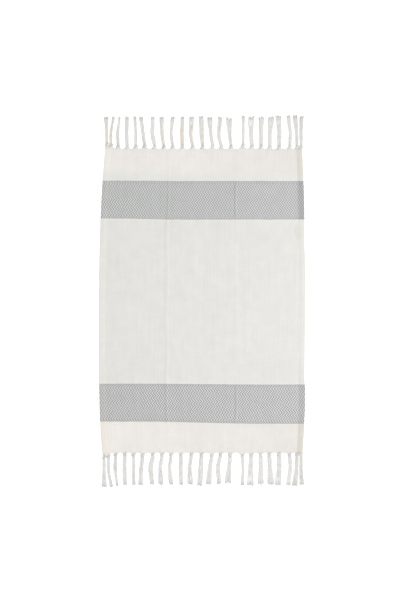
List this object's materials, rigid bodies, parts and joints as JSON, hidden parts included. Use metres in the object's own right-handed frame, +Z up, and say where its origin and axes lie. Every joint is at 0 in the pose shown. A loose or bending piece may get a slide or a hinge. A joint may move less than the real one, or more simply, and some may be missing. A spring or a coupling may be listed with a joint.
{
  "type": "kitchen towel with knotted fringes",
  "caption": "Flat woven cotton kitchen towel, off-white with a grey herringbone band near each end and a knotted fringe along both short edges, lying face up.",
  "frame": {"origin": "on the surface the towel lies on, under the middle of the whole towel, fringes included", "axes": "+X across the cloth from selvedge to selvedge, +Y along the warp towards the head fringe, +Z up out of the face of the cloth"},
  "size_m": [0.5, 0.897, 0.006],
  "materials": {
    "cloth": "woven cotton, off-white plain weave with two grey herringbone bands",
    "fringe_yarn": "soft twisted cotton yarn, off-white"
  },
  "bodies": {
    "root": {"towel_cloth": "cloth", "fringe_head": "fringe_yarn", "fringe_foot": "fringe_yarn"}
  },
  "joints": []
}
